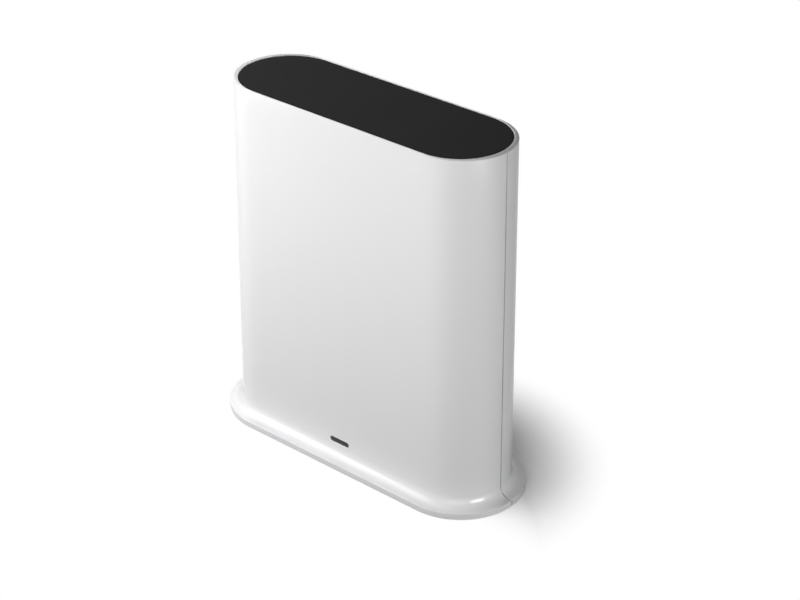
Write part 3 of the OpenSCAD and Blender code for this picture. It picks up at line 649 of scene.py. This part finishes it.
ethLow, ethHigh = nodeBox("ethernet_socket")
usbLow, usbHigh = nodeBox("usb_socket_shell")
inletLow, inletHigh = nodeBox("power_inlet")
pinLow, pinHigh = nodeBox("power_inlet_pin")
resetLow, resetHigh = nodeBox("reset_plunger")
pairLow, pairHigh = nodeBox("sync_button")
powerLow, powerHigh = nodeBox("power_button")
xPair, xPower = (pairLow.x + pairHigh.x) / 2, (powerLow.x + powerHigh.x) / 2
xReset, xInlet = (resetLow.x + resetHigh.x) / 2, (inletLow.x + inletHigh.x) / 2
xUsb, xEth = (usbLow.x + usbHigh.x) / 2, (ethLow.x + ethHigh.x) / 2
inletR = (inletHigh.x - inletLow.x) / 2
ethSize = (ethHigh.x - ethLow.x, ethHigh.z - ethLow.z)
usbSize = (usbHigh.x - usbLow.x, usbHigh.z - usbLow.z)

panel = {"corner": 1.0, "fitGap": 0.1, "slideGap": 0.15, "chamfer": 0.18, "past": 0.6, "resetR": 0.8,
         "ethCorner": 0.4}
network = {"mouth": (11.9, 7.0), "latch": ((6.2, 1.6), (3.6, 1.1)), "depth": 13.0, "edge": 0.3,
           "edgeSteps": 4, "lead": 0.35, "corner": 0.15, "past": 0.6}
links = {"size": (3.2, 1.5), "inset": (3.0, 2.0), "depth": 0.6, "proud": 0.06, "trim": 0.12, "corner": 0.3}
usb = {"sheet": 0.3, "depth": 10.5, "corner": 0.7, "cornerShare": 0.9, "lip": 0.15, "spring": (2.0, 3.6),
       "springProud": 0.12, "springRoot": 0.02, "springCrest": (0.35, 0.6), "springIn": 1.2, "apart": 5.6}
inlet = {"boreR": 3.15, "depth": 10.0, "edge": 0.3, "edgeSteps": 4}
sleeve = {"thick": 0.35, "gap": 0.02, "front": 1.4, "back": 0.2, "chamfer": 0.1}
pin = {"nose": 0.6, "point": 0.85, "noseSteps": 6, "steps": 32}
cap = {"lipDepth": 1.2, "lipGap": 0.1, "stemR": 2.0, "edge": 0.45, "edgeSteps": 5,
       "dishRows": ((0, 0.35), (0.5, 0.12), (1, -0.2))}  # share of the dish's depth, reach past its flat
pairCap = {**cap, "capR": 4.4, "rimWidth": 0.75, "dish": 0.22}
powerCap = {**cap, "capR": 3.4, "rimWidth": 0.6, "dish": 0.2}


def panelHoles(p):  # holes in the dark panel, each with a small chamfer
    rows = mouthRows(socketLow.y - p["past"], socketHigh.y, p["chamfer"], p["past"])
    rounds = [(xInlet, inletR + p["fitGap"]), (xReset, p["resetR"]),
              (xPower, powerCap["capR"] + p["slideGap"]), (xPair, pairCap["capR"] + p["slideGap"])]
    cutters = [turnedSkin(x, zRow, [(y, r + grow) for y, grow in rows]) for x, r in rounds]
    for x, size, corner in ((xEth, ethSize, p["ethCorner"]), (xUsb, usbSize, usb["corner"])):
        hole = (size[0] + 2 * p["fitGap"], size[1] + 2 * p["fitGap"])
        cutters.append(roundedSkin(x, zRow, hole, corner, rows))
    return joined(cutters)


def panelSolid(p):
    size = (socketHigh.x - socketLow.x, socketHigh.z - socketLow.z)
    return roundedSkin(0, zRow, size, p["corner"], [(socketLow.y, 0), (socketHigh.y, 0)])


def ethBody(n):
    edge = n["edge"]
    rows = [(ethLow.y, 0)]
    rows += [(ethHigh.y - edge * (1 - out), -edge * inward) for inward, out in roundOver(n["edgeSteps"])]
    return roundedSkin(xEth, zRow, ethSize, edge, rows, cornerShare=0)


def ethSpaces(n):  # the plug's space and the two steps for its latch, each with a lead-in
    (width, height), (first, second) = n["mouth"], n["latch"]
    top = zRow + (height + first[1] + second[1]) / 2
    floors = [top - height, top - height - first[1], top - height - first[1] - second[1]]
    rows = mouthRows(ethHigh.y - n["depth"], ethHigh.y, n["lead"], n["past"])
    return [roundedSkin(xEth, (top + bottom) / 2, (wide, top - bottom), n["corner"], rows)
            for wide, bottom in zip((width, first[0], second[0]), floors)]


def linkLights(k):  # two small lights beside the latch
    rows = [(ethHigh.y - k["depth"], 0), (ethHigh.y, 0), (ethHigh.y + k["proud"], -k["trim"])]
    lights = []
    for side in (-1, 1):
        x, z = xEth + side * (ethSize[0] / 2 - k["inset"][0]), ethLow.z + k["inset"][1]
        lights.append(roundedSkin(x, z, k["size"], k["corner"], rows, cornerShare=0))
    return joined(lights)


def usbSolid(u):  # folded sheet with a soft mouth, and two leaf springs above and below
    face, sheet, lip = usbHigh.y, u["sheet"], u["sheet"] * u["lip"]
    rows = [(usbLow.y, 0), (face - sheet / 2, 0), (face - lip, -lip), (face, -sheet / 2),
            (face - lip, -sheet * (1 - u["lip"])), (face - sheet / 2, -sheet), (face - u["depth"], -sheet)]
    solids = [roundedSkin(xUsb, zRow, usbSize, u["corner"], rows, u["cornerShare"])]
    (wide, long), (rise, fall) = u["spring"], u["springCrest"]
    y0 = face - u["springIn"]
    rows = [(y0, u["springRoot"]), (y0 - long * rise, u["springProud"]),
            (y0 - long * fall, u["springProud"]), (y0 - long, u["springRoot"])]
    corners = ((-1, 0), (1, 0), (1, 1), (-1, 1))
    for side in (-1, 1):
        wall = zRow + side * (usbSize[1] / 2 - sheet)
        for x in (-u["apart"] / 2, u["apart"] / 2):
            solids.append(skin([[(xUsb + x + sx * wide / 2, y, wall - side * h * up) for sx, up in corners]
                                for y, h in rows]))
    return joined(solids)


def inletSolid(n):
    face, bore, edge = inletHigh.y, n["boreR"], n["edge"]
    rows = [(inletLow.y, inletR)]
    rows += [(face - edge * (1 - t), inletR - edge * u) for u, t in roundOver(n["edgeSteps"])]
    rows += [(face, bore + edge), (face - edge, bore), (face - n["depth"], bore)]
    return turnedSkin(xInlet, zRow, rows)


def sleeveSolid(s):  # spring sleeve that lines the bore
    outer, inner = inlet["boreR"] - s["gap"], inlet["boreR"] - s["thick"]
    front, back = inletHigh.y - s["front"], inletHigh.y - inlet["depth"] + s["back"]
    rows = [(front, outer), (front, inner + s["chamfer"]), (front - s["chamfer"], inner), (back, inner),
            (back, outer)]
    return turnedSkin(xInlet, zRow, rows, wrap=True)


def pinSolid(p):
    r = (pinHigh.x - pinLow.x) / 2
    rows = [(pinLow.y, r)]
    for u, t in roundOver(p["noseSteps"]):
        rows.append((pinHigh.y - r * p["nose"] * (1 - t), r * (1 - p["point"] * u)))
    return turnedSkin(xInlet, zRow, rows, p["steps"])


socketPanel = solidPiece("socket_panel", panelSolid(panel))
carve(socketPanel, panelHoles(panel))
dress(socketPanel, "case", ["socket_face"], ["io_panel"])
networkSocket = solidPiece("network_socket", ethBody(network))
for space in ethSpaces(network):
    carve(networkSocket, space)
dress(networkSocket, "case", ["black_plastic"], ["ethernet_socket"])
dress(solidPiece("link_lights", linkLights(links)), "case", ["link_light"])
dress(solidPiece("usb_sheet", usbSolid(usb)), "case", ["steel"], ["usb_socket_shell"])
inletSocket = solidPiece("inlet_socket", inletSolid(inlet))
dress(inletSocket, "case", ["black_plastic"], ["power_inlet"])
dress(solidPiece("inlet_sleeve", sleeveSolid(sleeve)), "case", ["steel"])
dress(solidPiece("inlet_pin", pinSolid(pin)), "case", ["steel"], ["power_inlet_pin"])
print("sockets built")


# Buttons, and the plain signs on them

marks = {"proud": 0.03, "line": 0.42, "steps": 20, "powerR": 1.25, "powerGap": 80, "barUp": 0.75,
         "barTall": 1.1, "pairR": 1.9, "pairGap": 44, "arrow": 0.8, "arrowWide": 0.8}


def capSolid(b, x, low, high):  # stem, flange behind the panel, and a cap with a soft rim round its dish
    lipR, face = (high.x - low.x) / 2, high.y
    lipBack = socketLow.y - b["lipGap"] - b["lipDepth"]
    lipFront = lipBack + b["lipDepth"]
    rows = [(low.y, b["stemR"]), (lipBack, b["stemR"]), (lipBack, lipR), (lipFront, lipR),
            (lipFront, b["capR"])]
    rows += [(face - b["edge"] * (1 - t), b["capR"] - b["edge"] * u) for u, t in roundOver(b["edgeSteps"])]
    flat = b["capR"] - b["edge"] - b["rimWidth"]
    rows += [(face - b["dish"] * share, flat + reach) for share, reach in b["dishRows"]]
    return turnedSkin(x, zRow, rows)


def arcBar(m, x, y, radius, start, end):  # flat bar bent round a circle, on a face at y
    inner, outer, top = radius - m["line"] / 2, radius + m["line"] / 2, y + m["proud"]
    corners = ((inner, y), (outer, y), (outer, top), (inner, top))
    rings = []
    for i in range(m["steps"] + 1):
        turn = math.radians(start + (end - start) * i / m["steps"])
        rings.append([(x + r * math.cos(turn), h, zRow + r * math.sin(turn)) for r, h in corners])
    return skin(rings)


def arrowHead(m, x, y, radius, angle):  # triangle on the same circle, pointing along it
    turn, size = math.radians(angle), m["arrow"]
    out = Vector((math.cos(turn), math.sin(turn)))
    along, wide = Vector((-out.y, out.x)), size * m["arrowWide"]
    corners = (out * radius + along * size, out * (radius + wide), out * (radius - wide))
    return skin([[(x + p.x, h, zRow + p.y) for p in corners] for h in (y, y + m["proud"])])


def powerMark(m):  # open ring with a bar in its gap
    y, r, gap = powerHigh.y - powerCap["dish"], m["powerR"], m["powerGap"]
    opening = arcBar(m, xPower, y, r, 90 + gap / 2, 450 - gap / 2)
    size = (m["line"], m["proud"], r * m["barTall"])
    return joined([opening, block(xPower, y + m["proud"] / 2, zRow + r * m["barUp"], size)])


def pairMark(m):  # two arrows that chase each other
    y = pairHigh.y - pairCap["dish"]
    solids = []
    for start in (90, 270):
        end = start + 180 - m["pairGap"]
        solids.append(arcBar(m, xPair, y, m["pairR"], start, end))
        solids.append(arrowHead(m, xPair, y, m["pairR"], end))
    return joined(solids)


pairPiece = solidPiece("pair_cap", capSolid(pairCap, xPair, pairLow, pairHigh))
dress(pairPiece, "sync_button", ["button_plastic"], ["sync_button"])
powerPiece = solidPiece("power_cap", capSolid(powerCap, xPower, powerLow, powerHigh))
dress(powerPiece, "power_button", ["button_plastic"], ["power_button"])
dress(solidPiece("pair_mark", pairMark(marks)), "sync_button", ["mark_print"])
dress(solidPiece("power_mark", powerMark(marks)), "power_button", ["mark_print"])
print("buttons built")


# Floor, light and camera

stage = {
    "radius": 3.0, "steps": 96, "color": 0.975, "bounce": 0.12,  # radius in metres
    "mirrored": 0.7,  # share of the white that gloss shows
    "shadowAt": (21.0, 0.2, 0.0), "shadowR": 36.4, "shadowFade": 45.2,  # the shadow falls to the right
    "frontClear": -18.3, "frontFade": 40.8,  # the floor is clear in front of the foot
}


def seenRays(tree):  # rays that show the white: straight, mirrored or through clear pieces
    rays = tree.nodes.new("ShaderNodeLightPath")
    mirrored = addMath(tree, "MULTIPLY", rays.outputs["Is Glossy Ray"], stage["mirrored"])
    shown = addMath(tree, "MAXIMUM", rays.outputs["Is Camera Ray"], mirrored)
    return addMath(tree, "MAXIMUM", shown, rays.outputs["Is Transmission Ray"])


def addFade(tree, value, start, end):  # soft step from 0 to 1
    fade = tree.nodes.new("ShaderNodeMapRange")
    fade.interpolation_type = "SMOOTHSTEP"
    fade.inputs["From Min"].default_value = start * mm
    fade.inputs["From Max"].default_value = end * mm
    tree.links.new(value, fade.inputs["Value"])
    return fade.outputs["Result"]


def makeFloor(s):
    mesh = bpy.data.meshes.new("floor")
    shape = bmesh.new()
    bmesh.ops.create_circle(shape, cap_ends=True, segments=s["steps"], radius=s["radius"])
    shape.to_mesh(mesh)
    shape.free()
    floor = addObject("floor", mesh)
    material = bpy.data.materials.new("studio_floor")
    material.use_nodes = True
    tree = material.node_tree
    tree.nodes.clear()
    link = tree.links.new
    seen = seenRays(tree)
    place = tree.nodes.new("ShaderNodeNewGeometry").outputs["Position"]
    apart = tree.nodes.new("ShaderNodeVectorMath")
    apart.operation = "DISTANCE"
    apart.inputs[1].default_value = Vector(s["shadowAt"]) * mm
    link(place, apart.inputs[0])
    split = tree.nodes.new("ShaderNodeSeparateXYZ")
    link(place, split.inputs[0])
    around = addFade(tree, apart.outputs["Value"], s["shadowR"], s["shadowR"] + s["shadowFade"])
    ahead = addFade(tree, split.outputs["Y"], s["frontClear"] + s["frontFade"], s["frontClear"])
    clear = addMath(tree, "MAXIMUM", around, ahead)
    tint = tree.nodes.new("ShaderNodeMix")
    tint.data_type = "RGBA"
    tint.inputs["A"].default_value = (s["bounce"],) * 3 + (1,)
    tint.inputs["B"].default_value = (s["color"],) * 3 + (1,)
    link(seen, tint.inputs["Factor"])
    matte = tree.nodes.new("ShaderNodeBsdfDiffuse")
    link(tint.outputs["Result"], matte.inputs["Color"])
    white = tree.nodes.new("ShaderNodeEmission")
    mix = tree.nodes.new("ShaderNodeMixShader")
    link(addMath(tree, "MULTIPLY", clear, seen), mix.inputs["Fac"])
    link(matte.outputs[0], mix.inputs[1])
    link(white.outputs[0], mix.inputs[2])
    link(mix.outputs[0], tree.nodes.new("ShaderNodeOutputMaterial").inputs["Surface"])
    mesh.materials.append(material)


def makeWorld():  # white where it is seen, and no light of its own
    world = bpy.data.worlds.new("studio")
    bpy.context.scene.world = world
    world.use_nodes = True
    tree = world.node_tree
    white = tree.nodes["Background"]
    white.inputs["Color"].default_value = (1, 1, 1, 1)
    tree.links.new(seenRays(tree), white.inputs["Strength"])


lamps = {  # degrees from the front towards +X and up; distance, size and aim height in metres; watts
    "keyHigh": {"azimuth": -50, "elevation": 25, "distance": 0.35, "size": 0.22, "aim": 0.08, "power": 0.432},
    "keyLow": {"azimuth": -50, "elevation": 12, "distance": 0.35, "size": 0.22, "aim": 0.08, "power": 0.403},
    "keyFront": {"azimuth": -30, "elevation": 25, "distance": 0.35, "size": 0.22, "aim": 0.08, "power": 0.14},
    "keyTop": {"azimuth": -30, "elevation": 40, "distance": 0.40, "size": 0.22, "aim": 0.08, "power": 0.19},
    "front": {"azimuth": 36, "elevation": 0, "distance": 0.30, "size": 0.20, "aim": 0.20, "power": 0.31},
    "frontRight": {"azimuth": 58, "elevation": 0, "distance": 0.50, "size": 0.12, "aim": 0.03, "power": 0.205,
                   "matteOnly": True},
    "side": {"azimuth": 84, "elevation": 0, "distance": 0.50, "size": 0.12, "aim": 0.03, "power": 0.71,
             "matteOnly": True},
    "back": {"azimuth": -147, "elevation": 0, "distance": 0.50, "size": 0.12, "aim": 0.03, "power": 1.85},
    "leftCard": {"azimuth": -103, "elevation": 53, "distance": 0.60, "size": 0.75, "aim": 0.01, "power": 3.5,
                 "shineOnly": True},
    "sideCard": {"azimuth": 76, "elevation": 16, "distance": 0.50, "size": 0.24, "aim": 0.01, "power": 1.8,
                 "shineOnly": True},
}
photoCamera = {"eye": (435.90, -501.51, 448.20), "azimuth": 40.4622, "elevation": 29.8703,
               "focal": 87.64, "sensor": 36.0, "shiftX": 0.0144}


def outward(azimuth, elevation):
    turn, rise = math.radians(azimuth), math.radians(elevation)
    return Vector((math.sin(turn) * math.cos(rise), -math.cos(turn) * math.cos(rise), math.sin(rise)))


def addAimed(name, data, place, out):  # a lamp or camera that looks back along out
    holder = addObject(name, data)
    holder.location = place
    holder.rotation_mode = "QUATERNION"
    holder.rotation_quaternion = (-out).to_track_quat("-Z", "Y")
    return holder


def makeLamps(rig):
    for name, lamp in rig.items():
        light = bpy.data.lights.new(name, "AREA")
        light.shape = "DISK"
        light.size = lamp["size"]
        light.energy = lamp["power"]
        out = outward(lamp["azimuth"], lamp["elevation"])
        holder = addAimed(name, light, Vector((0, 0, lamp["aim"])) + out * lamp["distance"], out)
        holder.visible_camera = False
        holder.visible_diffuse = not lamp.get("shineOnly", False)  # cards show in gloss alone
        holder.visible_glossy = not lamp.get("matteOnly", False)  # low fills leave no glint


def makeCamera(c):
    view = bpy.data.cameras.new("photo_camera")
    view.sensor_width = c["sensor"]
    view.lens = c["focal"]
    view.shift_x = c["shiftX"]
    out = outward(c["azimuth"], c["elevation"])
    bpy.context.scene.camera = addAimed("photo_camera", view, Vector(c["eye"]) * mm, out)


makeFloor(stage)
makeWorld()
makeLamps(lamps)
makeCamera(photoCamera)
bpy.context.scene.view_settings.view_transform = "Standard"
print("stage, lamps and camera set")
